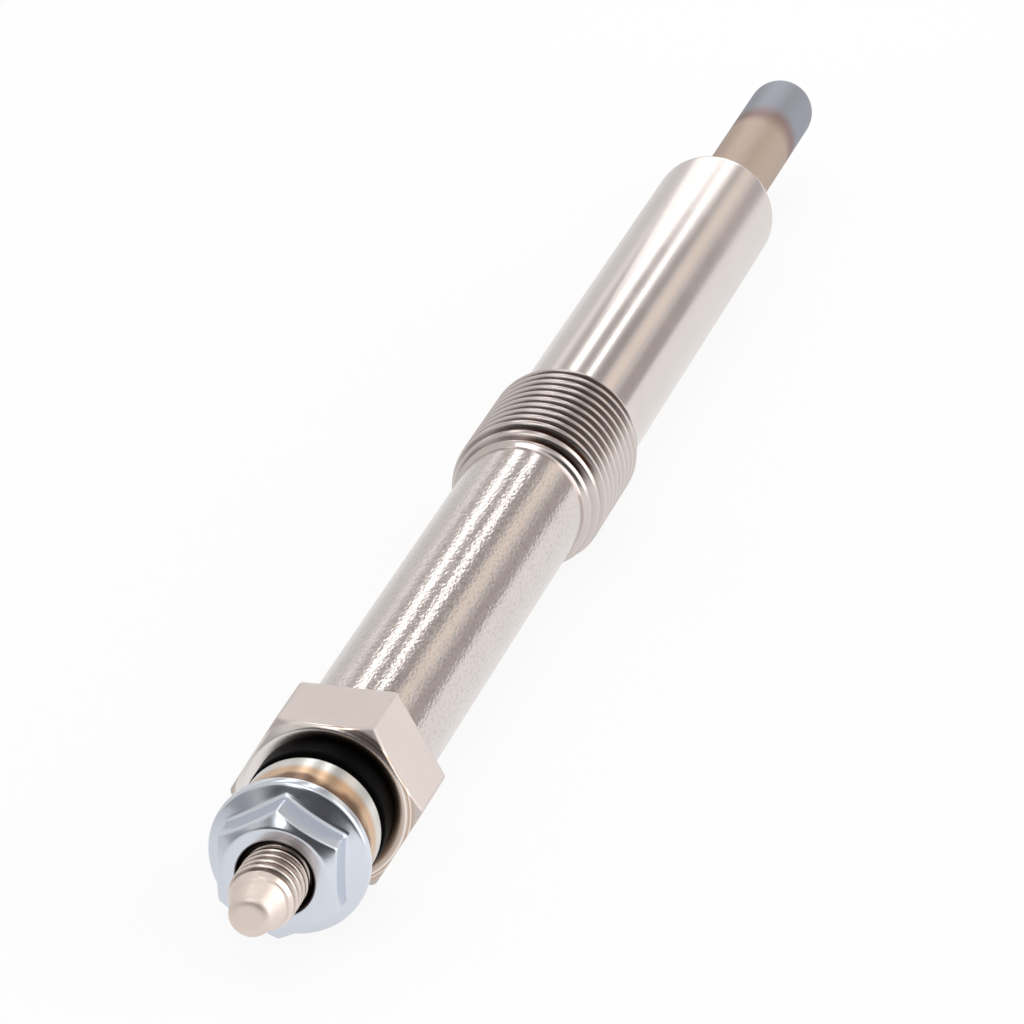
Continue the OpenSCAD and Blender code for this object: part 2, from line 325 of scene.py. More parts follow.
def grain(size):
    """Scale of a pattern whose grains are of a real size, for coordinates in metres."""
    return 1 / size


def rgba(rgb):
    """A colour with full alpha."""
    return (*rgb, 1.0)


def nickel_plate(sizes, colours):
    """Bright nickel on turned steel. On the rear shank the plate copies pits drawn out along the bar, which
    speckle the strips it mirrors, and the pits are painted darker as shade in them. The front shank was
    ground smooth and grows duller towards the seat, which melts the strips into one. The hexagon's flats
    were tumbled to a pale satin, and its faced end shows the lathe's rings with tan wear in them and a
    painted brown shade round the bush, on its right. The thread is cut a little duller. Its grooves hold a
    painted brown-black shade that thins out on the crests, is strongest on the upper turns and fades
    towards the left and down the sides."""
    material, tree, shader, place = new_material("bright_nickel_plate")
    across, station, height = add(tree, "ShaderNodeSeparateXYZ", {0: place}).outputs
    radius = axis_distance(tree, place)
    groove = add(tree, "ShaderNodeAttribute", attribute_name="groove").outputs["Fac"]
    drawn = add(tree, "ShaderNodeVectorMath", {0: place, 1: (1.0, 0.45, 1.0)}, operation="MULTIPLY")
    pits = add(tree, "ShaderNodeTexNoise",
               {"Vector": drawn.outputs[0], "Scale": grain(0.18 * MM), "Detail": 1.0}).outputs["Fac"]
    cloud = add(tree, "ShaderNodeTexNoise",
                {"Vector": place, "Scale": grain(4 * MM), "Detail": 3.0}).outputs["Fac"]
    rings = add(tree, "ShaderNodeTexNoise", {"W": radius, "Scale": grain(0.2 * MM), "Detail": 2.0},
                noise_dimensions="1D").outputs["Fac"]
    patchy = add(tree, "ShaderNodeMath", {0: cloud, 1: 24 * MM}, operation="MULTIPLY")
    dulled = add(tree, "ShaderNodeMath", {0: station, 1: patchy.outputs[0]}, operation="ADD").outputs[0]
    half_thread = sizes.thread_length / 2
    from_middle = add(tree, "ShaderNodeMath", {0: station, 1: thread_stations(sizes)[2] - half_thread},
                      operation="SUBTRACT")
    away = add(tree, "ShaderNodeMath", {0: from_middle.outputs[0]}, operation="ABSOLUTE").outputs[0]
    hex_end = HEX_FACE + sizes.hex_length
    # Shares of finishes and painted shade: what each goes by, where it starts and is full, its value before
    # and after
    shares = {name: add(tree, "ShaderNodeMapRange", {"Value": value, "From Min": start, "From Max": full,
                                                     "To Min": low, "To Max": high}, **SMOOTH).outputs[0]
              for name, value, start, full, low, high in [
                  ("hexagon", station, hex_end + 0.05 * MM, hex_end - 0.05 * MM, 0.0, 1.0),
                  ("faced end", station, HEX_FACE + 0.36 * MM, HEX_FACE + 0.24 * MM, 0.0, 1.0),
                  ("ground", station, THREAD_MIDDLE - 10 * MM, THREAD_MIDDLE - 6 * MM, 0.0, 1.0),
                  ("dull seat", dulled, MOUTH - 24 * MM, MOUTH + 6 * MM, 0.0, 1.0),
                  ("near bush", radius, BUSH_R + 0.55 * MM, BUSH_R + 0.1 * MM, 0.0, 1.0),
                  ("shaded side", across, -4 * MM, 0.0, 0.0, 1.0),
                  ("rubbed side", across, -3 * MM, 3 * MM, 0.0, 1.0),
                  ("ring wear", rings, 0.72, 0.38, 0.0, 1.0),
                  ("pit", pits, 0.52, 0.3, 0.0, 1.0),
                  ("thread", away, half_thread, half_thread - 0.5 * MM, 0.0, 1.0),
                  ("shade in groove", groove, 0.0, 0.5, 0.16, 0.98),
                  ("shade on top", height, AXIS_Z + 1.2 * MM, AXIS_Z + 2.6 * MM, 0.1, 1.0),
                  ("shade across", across, -2.6 * MM, MM, 0.35, 1.0)]}
    rubbed = add(tree, "ShaderNodeMath", {0: shares["rubbed side"], 1: shares["ring wear"]},
                 operation="MULTIPLY")
    # Painted brown shade round the bush, on the right side of the faced end
    bush_shade_share = add(tree, "ShaderNodeMath", {0: shares["near bush"], 1: shares["shaded side"]},
                operation="MULTIPLY")
    worn = add(tree, "ShaderNodeMix",
               {0: rubbed.outputs[0], 6: rgba(colours.face), 7: rgba(colours.face_wear)}, data_type="RGBA")
    bush_shaded = add(tree, "ShaderNodeMix",
                {0: bush_shade_share.outputs[0], 6: worn.outputs[2], 7: rgba(colours.brown_shade)}, data_type="RGBA")
    smooth = add(tree, "ShaderNodeMath", {0: shares["ground"], 1: shares["hexagon"]}, operation="MAXIMUM")
    pitted = add(tree, "ShaderNodeMix", {0: smooth.outputs[0], 2: 1.0, 3: 0.12}).outputs[0]
    # The pits are painted darker, as shade in them
    pit_shade = add(tree, "ShaderNodeMath", {0: shares["pit"], 1: pitted}, operation="MULTIPLY")
    shade = add(tree, "ShaderNodeMapRange", {"Value": cloud, "To Min": 0.88, "To Max": 1.0})
    speckle = add(tree, "ShaderNodeMix", {0: pit_shade.outputs[0], 2: shade.outputs[0], 3: 0.8})
    plate = add(tree, "ShaderNodeMix", {0: 1.0, 6: rgba(colours.nickel), 7: speckle.outputs[0]},
                data_type="RGBA", blend_type="MULTIPLY")
    # Painted brown-black shade in the thread's grooves, thinning on the crests, strongest on the upper turns
    # to the right
    groove_shade = shares["thread"]
    for name in ("shade in groove", "shade on top", "shade across"):
        groove_shade = add(tree, "ShaderNodeMath", {0: groove_shade, 1: shares[name]}, operation="MULTIPLY").outputs[0]
    groove_shaded = add(tree, "ShaderNodeMix", {0: groove_shade, 6: plate.outputs[2], 7: rgba(colours.thread_groove_shade)},
                 data_type="RGBA")
    skin = add(tree, "ShaderNodeMix", {0: shares["faced end"], 6: groove_shaded.outputs[2], 7: bush_shaded.outputs[2]},
               data_type="RGBA")
    rough = add(tree, "ShaderNodeMix", {0: shares["dull seat"], 2: 0.15, 3: 0.23}).outputs[0]
    for name, roughness in (("thread", 0.25), ("hexagon", 0.55), ("faced end", 0.24)):
        rough = add(tree, "ShaderNodeMix", {0: shares[name], 2: rough, 3: roughness}).outputs[0]
    bump = add(tree, "ShaderNodeBump", {"Height": pits, "Distance": 0.018 * MM, "Strength": pitted})
    shader.inputs["Metallic"].default_value = 1.0
    tree.links.new(skin.outputs[2], shader.inputs["Base Color"])
    tree.links.new(rough, shader.inputs["Roughness"])
    tree.links.new(bump.outputs["Normal"], shader.inputs["Normal"])
    return material


def stud_plate(colours):
    """Steel stud with a thin warm nickel strike. Satin on the pilot, with a painted brown shade in the
    grooves that deepens towards the nut."""
    material, tree, shader, place = new_material("champagne_nickel_plate")
    station = add(tree, "ShaderNodeSeparateXYZ", {0: place}).outputs["Y"]
    groove = add(tree, "ShaderNodeAttribute", attribute_name="groove").outputs["Fac"]
    cloud = add(tree, "ShaderNodeTexNoise",
                {"Vector": place, "Scale": grain(1.2 * MM), "Detail": 3.0}).outputs["Fac"]
    shade = add(tree, "ShaderNodeMapRange", {"Value": cloud, "To Min": 0.88, "To Max": 1.0})
    plate = add(tree, "ShaderNodeMix", {0: 1.0, 6: rgba(colours.stud), 7: shade.outputs[0]},
                data_type="RGBA", blend_type="MULTIPLY")
    # Painted brown shade in the grooves, deeper towards the nut
    near_nut = add(tree, "ShaderNodeMapRange", {"Value": station, "From Min": STUD_END + 2 * MM,
                                                "From Max": NUT_FACE, "To Min": 0.7, "To Max": 1.0})
    groove_shade_share = add(tree, "ShaderNodeMath", {0: groove, 1: near_nut.outputs[0]}, operation="MULTIPLY")
    groove_shade = add(tree, "ShaderNodeMix",
               {0: groove_shade_share.outputs[0], 6: plate.outputs[2], 7: rgba(colours.brown_shade)}, data_type="RGBA")
    rough = add(tree, "ShaderNodeMapRange", {"Value": station, "From Min": STUD_END + 1.6 * MM,
                                             "From Max": STUD_END + 2.4 * MM, "To Min": 0.5, "To Max": 0.26})
    bump = add(tree, "ShaderNodeBump", {"Height": cloud, "Distance": 0.008 * MM, "Strength": 1.0})
    shader.inputs["Metallic"].default_value = 1.0
    tree.links.new(groove_shade.outputs[2], shader.inputs["Base Color"])
    tree.links.new(rough.outputs[0], shader.inputs["Roughness"])
    tree.links.new(bump.outputs["Normal"], shader.inputs["Normal"])
    return material


def tinted_sheath(colours):
    """Drawn heat-resisting steel after its first glow. Bare tan metal near the body turns purple-brown
    and then blue-grey towards the tip, with a soft wavy edge."""
    material, tree, shader, place = new_material("heat_tinted_sheath_alloy")
    station = add(tree, "ShaderNodeSeparateXYZ", {0: place}).outputs["Y"]
    cloud = add(tree, "ShaderNodeTexNoise",
                {"Vector": place, "Scale": grain(2.5 * MM), "Detail": 3.0}).outputs["Fac"]
    wave = add(tree, "ShaderNodeMath", {0: cloud, 1: 1.2 * MM}, operation="MULTIPLY")
    wavy = add(tree, "ShaderNodeMath", {0: station, 1: wave.outputs[0]}, operation="ADD").outputs[0]
    tint = rgba(colours.sheath)
    for start, full, next_tint in ((10.4 * MM, 8.0 * MM, colours.sheath_edge),
                                   (8.4 * MM, 6.0 * MM, colours.sheath_tip)):
        share = add(tree, "ShaderNodeMapRange", {"Value": wavy, "From Min": TIP - start,
                                                 "From Max": TIP - full}, **SMOOTH)
        tint = add(tree, "ShaderNodeMix", {0: share.outputs[0], 6: tint, 7: rgba(next_tint)},
                   data_type="RGBA").outputs[2]
    bump = add(tree, "ShaderNodeBump", {"Height": cloud, "Distance": 0.01 * MM, "Strength": 1.0})
    shader.inputs["Metallic"].default_value = 1.0
    shader.inputs["Roughness"].default_value = 0.55
    tree.links.new(tint, shader.inputs["Base Color"])
    tree.links.new(bump.outputs["Normal"], shader.inputs["Normal"])
    return material


def zinc_plate(sizes, colours):
    """Electroplated zinc with a clear blue passivate. Cool white, with faint cloudy spangle, and a painted
    black shade in the countersink."""
    material, tree, shader, place = new_material("blue_passivated_zinc")
    cloud = add(tree, "ShaderNodeTexNoise",
                {"Vector": place, "Scale": grain(0.8 * MM), "Detail": 3.0}).outputs["Fac"]
    mouth_r = sizes.stud_bore / 2 + sizes.nut_sink
    # Painted black shade inside the countersink's mouth
    sink_shade_share = add(tree, "ShaderNodeMapRange",
               {"Value": axis_distance(tree, place), "From Min": mouth_r + 0.1 * MM,
                "From Max": mouth_r - 0.06 * MM}, **SMOOTH)
    skin = add(tree, "ShaderNodeMix", {0: sink_shade_share.outputs[0], 6: rgba(colours.zinc), 7: rgba(colours.countersink_shade)},
               data_type="RGBA")
    rough = add(tree, "ShaderNodeMapRange", {"Value": cloud, "To Min": 0.14, "To Max": 0.26})
    bump = add(tree, "ShaderNodeBump", {"Height": cloud, "Distance": 0.008 * MM, "Strength": 1.0})
    shader.inputs["Metallic"].default_value = 1.0
    tree.links.new(skin.outputs[2], shader.inputs["Base Color"])
    tree.links.new(rough.outputs[0], shader.inputs["Roughness"])
    tree.links.new(bump.outputs["Normal"], shader.inputs["Normal"])
    return material


def golden_plate(colours):
    """Turned nut with a thin golden plate. A painted silver reflection runs along the edge by the bush,
    and a painted brown shade with a wavy, patchy edge lies on the side by the flange nut."""
    material, tree, shader, place = new_material("golden_plated_steel")
    station = add(tree, "ShaderNodeSeparateXYZ", {0: place}).outputs["Y"]
    cloud = add(tree, "ShaderNodeTexNoise",
                {"Vector": place, "Scale": grain(2.4 * MM), "Detail": 3.0}).outputs["Fac"]
    wave = add(tree, "ShaderNodeMath", {0: cloud, 1: 2.4 * MM}, operation="MULTIPLY")
    wavy = add(tree, "ShaderNodeMath", {0: station, 1: wave.outputs[0]}, operation="ADD")
    # Painted brown shade on the side by the flange nut, with a wavy edge
    flange_shade_share = add(tree, "ShaderNodeMapRange",
                {"Value": wavy.outputs[0], "From Min": ROUND_NUT_FACE + 3.2 * MM,
                 "From Max": ROUND_NUT_FACE + 2.5 * MM}, **SMOOTH)
    # Painted silver reflection along the edge by the bush
    edge_sheen_share = add(tree, "ShaderNodeMapRange",
               {"Value": station, "From Min": ROUND_NUT_SEAT - 1.9 * MM,
                "From Max": ROUND_NUT_SEAT - 1.1 * MM}, **SMOOTH)
    plate = add(tree, "ShaderNodeMix",
                {0: flange_shade_share.outputs[0], 6: rgba(colours.round_nut), 7: rgba(colours.round_nut_shade)},
                data_type="RGBA")
    sheened = add(tree, "ShaderNodeMix",
                {0: edge_sheen_share.outputs[0], 6: plate.outputs[2], 7: rgba(colours.round_nut_sheen)}, data_type="RGBA")
    bump = add(tree, "ShaderNodeBump", {"Height": cloud, "Distance": 0.01 * MM, "Strength": 1.0})
    shader.inputs["Metallic"].default_value = 1.0
    shader.inputs["Roughness"].default_value = 0.26
    tree.links.new(sheened.outputs[2], shader.inputs["Base Color"])
    tree.links.new(bump.outputs["Normal"], shader.inputs["Normal"])
    return material


def black_moulding(colours):
    """Glass-filled phenolic, compression moulded. Deep black, with a weak sheen and a faint orange peel."""
    material, tree, shader, place = new_material("black_phenolic_moulding")
    peel = add(tree, "ShaderNodeTexNoise",
               {"Vector": place, "Scale": grain(0.6 * MM), "Detail": 2.0}).outputs["Fac"]
    rough = add(tree, "ShaderNodeMapRange", {"Value": peel, "To Min": 0.36, "To Max": 0.5})
    bump = add(tree, "ShaderNodeBump", {"Height": peel, "Distance": 0.01 * MM, "Strength": 1.0})
    shader.inputs["Base Color"].default_value = rgba(colours.bush)
    shader.inputs["Specular IOR Level"].default_value = 0.02
    tree.links.new(rough.outputs[0], shader.inputs["Roughness"])
    tree.links.new(bump.outputs["Normal"], shader.inputs["Normal"])
    return material


def inner_material(name, rgb, size, metallic, roughness):
    """A matt inner piece whose colour and height vary with a grain of a real size."""
    material, tree, shader, place = new_material(name)
    grains = add(tree, "ShaderNodeTexNoise",
                 {"Vector": place, "Scale": grain(size), "Detail": 2.0}).outputs["Fac"]
    shade = add(tree, "ShaderNodeMapRange", {"Value": grains, "To Min": 0.75, "To Max": 1.0})
    mixed = add(tree, "ShaderNodeMix", {0: 1.0, 6: rgba(rgb), 7: shade.outputs[0]},
                data_type="RGBA", blend_type="MULTIPLY")
    bump = add(tree, "ShaderNodeBump", {"Height": grains, "Distance": size / 20, "Strength": 1.0})
    shader.inputs["Metallic"].default_value = metallic
    shader.inputs["Roughness"].default_value = roughness
    tree.links.new(mixed.outputs[2], shader.inputs["Base Color"])
    tree.links.new(bump.outputs["Normal"], shader.inputs["Normal"])
    return material


class GLOWPLUG_OT_body(bpy.types.Operator):
    """Builds the turned body: hexagon, shank, mounting thread, front shank, seat and bore"""
    bl_idname = "glow_plug.body"
    bl_label = "Body"

    def execute(self, context):
        sizes, colours = context.scene.glow_plug_sizes, context.scene.glow_plug_colours
        angle = ring_angles(30)
        flats = hexagon_radius(angle, HEX_APOTHEM, sizes.hex_edge, 30)
        shank_r, front_r = sizes.shank / 2, sizes.front / 2
        face_r, mouth_r = sizes.hex_face / 2, sizes.mouth / 2
        bore_r, pocket_r = SHEATH_R + sizes.fit, sizes.pocket / 2
        hex_end = HEX_FACE + sizes.hex_length
        bevel = HEX_FACE + (flats - face_r) * BEVEL_RISE
        pocket = HEX_FACE + sizes.pocket_depth
        foot, ramp, front = thread_stations(sizes)
        seat = front + sizes.front_length
        past = 0.3 * MM
        inside = (bore_r, (HEX_FACE + MOUTH) / 2, 0.0)
        rear = soft_profile([
            inside, (bore_r, pocket + pocket_r - bore_r, EDGE), (pocket_r, pocket, EDGE),
            (pocket_r, HEX_FACE, EDGE), (face_r, HEX_FACE, 0.12 * MM), (flats, bevel, 0.18 * MM),
            (flats, hex_end, 0.25 * MM), (shank_r, hex_end, 0.2 * MM), (shank_r, foot - past, 0.0)],
            len(angle))
        station = np.arange(foot - past, front + past, THREAD_ROW)[1:, None]
        outside = np.interp(station, [foot, ramp, FULL_START, FULL_END, front],
                            [shank_r, THREAD_R - sizes.lead_in, THREAD_R, THREAD_R, front_r])
        root_r = THREAD_R - sizes.thread_depth
        root = np.interp(station, [foot, FULL_START, FULL_END, front], [shank_r, root_r, root_r, front_r])
        level = thread_level(station, angle, FULL_START, sizes.thread_pitch)
        radius = root + (outside - root) * level
        turns = np.stack([radius, np.broadcast_to(station, radius.shape)], -1)
        cone = soft_profile([
            (front_r, front + past, 0.0), (front_r, seat, 0.5 * MM), (mouth_r, MOUTH, 0.2 * MM),
            (bore_r, MOUTH, EDGE), inside], len(angle))[:-1]
        groove = np.concatenate([np.zeros(rear.shape[:2]),
                                 np.clip((outside - radius) / sizes.thread_depth, 0, 1),
                                 np.zeros(cone.shape[:2])])
        turned_piece("plated_body", np.concatenate([rear, turns, cone]), angle, True,
                     nickel_plate(sizes, colours), "body_shell", groove)
        return {"FINISHED"}


class GLOWPLUG_OT_sheath(bpy.types.Operator):
    """Builds the heating rod's sheath with its round tip"""
    bl_idname = "glow_plug.sheath"
    bl_label = "Sheath"

    def execute(self, context):
        sizes, colours = context.scene.glow_plug_sizes, context.scene.glow_plug_colours
        angle = ring_angles(0)
        inner_r = SHEATH_R - sizes.sheath_wall
        dome = TIP - SHEATH_R
        corners = (arc_corners(dome, inner_r, 0, 90, 16)
                   + [(inner_r, SHEATH_REAR, EDGE), (SHEATH_R, SHEATH_REAR, 0.15 * MM)]
                   + arc_corners(dome, SHEATH_R, 90, 0, 28))
        turned_piece("tinted_sheath", soft_profile(corners, len(angle)), angle, False,
                     tinted_sheath(colours), "heater_sheath")
        return {"FINISHED"}


class GLOWPLUG_OT_centre_rod(bpy.types.Operator):
    """Builds the centre rod with its threaded terminal stud"""
    bl_idname = "glow_plug.centre_rod"
    bl_label = "Centre rod"

    def execute(self, context):
        sizes, colours = context.scene.glow_plug_sizes, context.scene.glow_plug_colours
        angle = ring_angles(0)
        pilot = STUD_END + sizes.pilot_length
        hidden = NUT_FACE + 1.2 * MM
        thread_end = (BUSH_FACE + HEX_FACE) / 2
        rod_r, front_r, nose_r = sizes.rod / 2, sizes.rod_front / 2, sizes.rod_nose / 2
        step = SHEATH_REAR - sizes.rod_step
        nose = NOSE_END - sizes.nose_length
        tip = soft_profile([(0.0, STUD_END, 0.0), (sizes.pilot_end / 2, STUD_END, 0.5 * MM),
                            (sizes.pilot / 2, pilot, 0.0)], len(angle))
        station = np.arange(pilot, hidden, STUD_ROW)[1:, None]
        outside = np.interp(station, [pilot, pilot + sizes.stud_lead], [sizes.pilot / 2, STUD_R])
        fade = np.clip((hidden - station) / (0.5 * MM), 0, 1)
        level = thread_level(station, angle, pilot, sizes.stud_pitch)
        radius = np.minimum(outside, STUD_R - sizes.stud_depth * (1 - level) * fade)
        turns = np.stack([radius, np.broadcast_to(station, radius.shape)], -1)
        rest = soft_profile([
            (STUD_R, hidden, 0.0), (STUD_R, thread_end, EDGE),
            (rod_r, thread_end + STUD_R - rod_r, EDGE), (rod_r, step, EDGE),
            (front_r, step + rod_r - front_r, EDGE), (front_r, nose, EDGE),
            (nose_r, nose, EDGE), (nose_r, NOSE_END, EDGE), (0.0, NOSE_END, 0.0)], len(angle))
        groove = np.concatenate([np.zeros(tip.shape[:2]),
                                 np.clip((outside - radius) / sizes.stud_depth, 0, 1),
                                 np.zeros(rest.shape[:2])])
        turned_piece("terminal_stud_rod", np.concatenate([tip, turns, rest]), angle, False,
                     stud_plate(colours), "centre_rod", groove)
        return {"FINISHED"}


class GLOWPLUG_OT_bush(bpy.types.Operator):
    """Builds the black insulating bush under the round nut"""
    bl_idname = "glow_plug.bush"
    bl_label = "Insulating bush"

    def execute(self, context):
        sizes, colours = context.scene.glow_plug_sizes, context.scene.glow_plug_colours
        angle = ring_angles(0)
        bore_r, spigot_r = sizes.stud_bore / 2, sizes.spigot / 2
        inside = (bore_r, (BUSH_FACE + SPIGOT_END) / 2, 0.0)
        profile = soft_profile([
            inside, (bore_r, BUSH_FACE, EDGE), (BUSH_R, BUSH_FACE, 0.45 * MM),
            (BUSH_R, HEX_FACE, 0.15 * MM), (spigot_r, HEX_FACE, EDGE),
            (spigot_r, SPIGOT_END, 0.15 * MM), (bore_r, SPIGOT_END, EDGE), inside], len(angle))[:-1]
        turned_piece("moulded_bush", profile, angle, True, black_moulding(colours),
                     "insulating_bush")
        return {"FINISHED"}


class GLOWPLUG_OT_nuts(bpy.types.Operator):
    """Builds the round nut and the flange nut of the terminal"""
    bl_idname = "glow_plug.nuts"
    bl_label = "Terminal nuts"

    def execute(self, context):
        sizes, colours = context.scene.glow_plug_sizes, context.scene.glow_plug_colours
        angle = ring_angles(0)
        bore_r, bevel = sizes.stud_bore / 2, sizes.round_bevel
        inside = (bore_r, (ROUND_NUT_FACE + ROUND_NUT_SEAT) / 2, 0.0)
        round_nut = soft_profile([
            inside, (bore_r, ROUND_NUT_FACE, EDGE), (ROUND_NUT_R - bevel, ROUND_NUT_FACE, EDGE),
            (ROUND_NUT_R, ROUND_NUT_FACE + bevel, EDGE), (ROUND_NUT_R, ROUND_NUT_SEAT - bevel, EDGE),
            (ROUND_NUT_R - bevel, ROUND_NUT_SEAT, EDGE), (bore_r, ROUND_NUT_SEAT, EDGE), inside],
            len(angle))[:-1]
        turned_piece("golden_round_nut", round_nut, angle, True, golden_plate(colours),
                     "round_nut")
        flats = hexagon_radius(angle, sizes.nut_flats / 2, sizes.nut_edge, 0)
        face_r, mouth_r = sizes.nut_face / 2, bore_r + sizes.nut_sink
        rim = NUT_SEAT - sizes.flange_rim
        slope_top = rim - (RIM_R - flats) * FLANGE_RISE
        inside = (bore_r, (NUT_FACE + NUT_SEAT) / 2, 0.0)
        flange_nut = soft_profile([
            inside, (bore_r, NUT_FACE + sizes.nut_sink, 0.06 * MM), (mouth_r, NUT_FACE, 0.08 * MM),
            (face_r, NUT_FACE, 0.12 * MM),
            (flats, NUT_FACE + (flats - face_r) * BEVEL_RISE, 0.14 * MM),
            (flats, slope_top, 0.25 * MM), (RIM_R, rim, 0.2 * MM), (RIM_R, NUT_SEAT, 0.25 * MM),
            (mouth_r, NUT_SEAT, 0.08 * MM), (bore_r, NUT_SEAT - sizes.nut_sink, 0.06 * MM), inside],
            len(angle))[:-1]
        turned_piece("zinc_flange_nut", flange_nut, angle, True, zinc_plate(sizes, colours),
                     "flange_nut")
        return {"FINISHED"}


class GLOWPLUG_OT_inner_pieces(bpy.types.Operator):
    """Gives the sealed inner pieces their finishes"""
    bl_idname = "glow_plug.inner_pieces"
    bl_label = "Inner pieces"

    def execute(self, context):
        colours = context.scene.glow_plug_colours
        # Glowed wire is dull grey-brown, pressed powder chalky white, moulded seal rubber matt black
        wire = inner_material("oxidised_resistance_wire", colours.wire, 0.1 * MM, 1.0, 0.45)
        powder = inner_material("pressed_magnesia", colours.magnesia, 0.15 * MM, 0.0, 0.9)
        rubber = inner_material("seal_rubber", colours.rubber, 0.2 * MM, 0.0, 0.6)
        finishes = {"heating_coil": wire, "regulating_coil": wire, "insulating_fill": powder,
                    "sheath_seal": rubber, "body_seal_ring": rubber}
        for node, material in finishes.items():
            for slot in frame["nodes"][node].material_slots:
                slot.material = material
        return {"FINISHED"}


class GLOWPLUG_OT_stage(bpy.types.Operator):
    """Builds the floor, the studio light and the camera"""
    bl_idname = "glow_plug.stage"
    bl_label = "Stage"

    def execute(self, context):
        scene = context.scene
        build_floor(scene.glow_plug_colours)
        build_world(scene)
        build_tip_lamp(scene)
        build_camera(scene)
        scene.view_settings.view_transform = "Standard"
        return {"FINISHED"}


# Floor: half its width in metres, how much of it is glow in the metal and seen straight, and what it gives
# off in the metal at two places across it
FLOOR_HALF = 3.0
GLOW_IN_METAL = 0.8
GLOW_SEEN = 0.9
GLOW_LEFT = (-60 * MM, 0.7)
GLOW_RIGHT = (30 * MM, 1.08)
# Camera: what it looks at, where it stands round and above that, how far off, and its focal length in mm
CAMERA_AIM = Vector((-0.36, -9.0, 4.86)) * MM
CAMERA_AZIMUTH = math.radians(14.66)
CAMERA_ELEVATION = math.radians(23.33)
CAMERA_DISTANCE = 449.4 * MM
CAMERA_LENS = 252.0
# Long light panels and gaps between them, all parallel to the plug: place round the plug's axis, half
# width and soft edge in degrees from straight up, then what each gives off
PANELS = [
    ("warm wall", 44.0, 6.0, 6.0, (1.02, 0.93, 0.84)),
    ("right gap", 84.0, 16.0, 9.0, (0.5, 0.47, 0.46)),
    ("middle gap", 21.0, 4.0, 8.0, (0.46, 0.44, 0.43)),
    ("left gap", -43.0, 4.0, 6.0, (0.58, 0.56, 0.545)),
    ("faint strip", -61.0, 3.0, 5.0, (1.1, 1.09, 1.08)),
    ("strip gap", -11.0, 3.0, 5.0, (0.5, 0.48, 0.47)),
    ("key strip", -27.0, 3.5, 4.0, (2.4, 2.4, 2.4)),
    ("thin strip", 3.7, 2.0, 3.0, (2.6, 2.6, 2.6)),
]
DOME = (0.76, 0.745, 0.735)
# Soft box past the tip: its middle, its width and height, what it gives off
TIP_LAMP_PLACE = Vector((-9.0, 110.0, 32.0)) * MM
TIP_LAMP_SIZE = (40 * MM, 18 * MM)
TIP_LAMP_GLOW = 0.85
# Dark room on the camera's side: what it gives off, then its middle and its reach in degrees, first
# round the upright from straight ahead of the terminal, then up from the level
DARK_ROOM = (0.075, 0.072, 0.076)
ROOM_MIDDLE = (13.0, 18.0)
ROOM_REACH = (45.0, 30.0)
# Round lamps and a door: where each stands, its half width and soft edge in degrees, what it gives off
LAMPS = [
    ("left door", (-0.75, -0.65, 0.06), 9.0, 10.0, (0.34, 0.34, 0.35)),
    ("front lamp", (-0.16, -0.8, 0.57), 3.5, 3.5, (3.4, 3.4, 3.4)),
    ("overhead lamp", (-0.05, -0.4, 0.89), 9.0, 8.0, (3.0, 3.0, 3.0)),
    ("right window", (0.87, 0.36, 0.34), 20.0, 14.0, (2.3, 2.3, 2.3)),
]


def build_floor(colours):
    """A pale square sheet under the plug. Seen straight or in the metal it is white paper, part of which
    is its own glow, so the plug's shadow stays on it. In the metal the glow falls off to the left."""
    mesh = bpy.data.meshes.new("floor")
    corners = FLOOR_HALF * np.array([[-1, -1, 0], [1, -1, 0], [1, 1, 0], [-1, 1, 0]], float)
    mesh.from_pydata(corners.tolist(), [], [[0, 1, 2, 3]])
    floor = bpy.data.objects.new("floor", mesh)
    bpy.context.scene.collection.objects.link(floor)
    material, tree, shader, place = new_material("white_paper")
    across = add(tree, "ShaderNodeSeparateXYZ", {0: place}).outputs["X"]
    path = add(tree, "ShaderNodeLightPath").outputs
    lit = add(tree, "ShaderNodeMapRange", {"Value": across, "From Min": GLOW_LEFT[0], "To Min": GLOW_LEFT[1],
                                           "From Max": GLOW_RIGHT[0], "To Max": GLOW_RIGHT[1]}, **SMOOTH)
    level = add(tree, "ShaderNodeMix", {0: path["Is Camera Ray"], 2: lit.outputs[0], 3: 1.0})
    mirrored = add(tree, "ShaderNodeMath", {0: path["Is Glossy Ray"], 1: path["Is Transmission Ray"]},
                   operation="MAXIMUM")
    in_metal = add(tree, "ShaderNodeMath", {0: mirrored.outputs[0], 1: GLOW_IN_METAL}, operation="MULTIPLY")
    seen = add(tree, "ShaderNodeMath", {0: path["Is Camera Ray"], 1: GLOW_SEEN}, operation="MULTIPLY")
    share = add(tree, "ShaderNodeMath", {0: in_metal.outputs[0], 1: seen.outputs[0]}, operation="MAXIMUM")
    glow = add(tree, "ShaderNodeEmission", {"Color": (1.0, 1.0, 1.0, 1.0), "Strength": level.outputs[0]})
    shader.inputs["Base Color"].default_value = rgba(colours.floor)
    shader.inputs["Roughness"].default_value = 1.0
    shader.inputs["Specular IOR Level"].default_value = 0.0
    sheet = add(tree, "ShaderNodeMixShader", {0: share.outputs[0], 1: shader.outputs[0], 2: glow.outputs[0]})
    tree.links.new(sheet.outputs[0], tree.nodes["Material Output"].inputs["Surface"])
    mesh.materials.append(material)


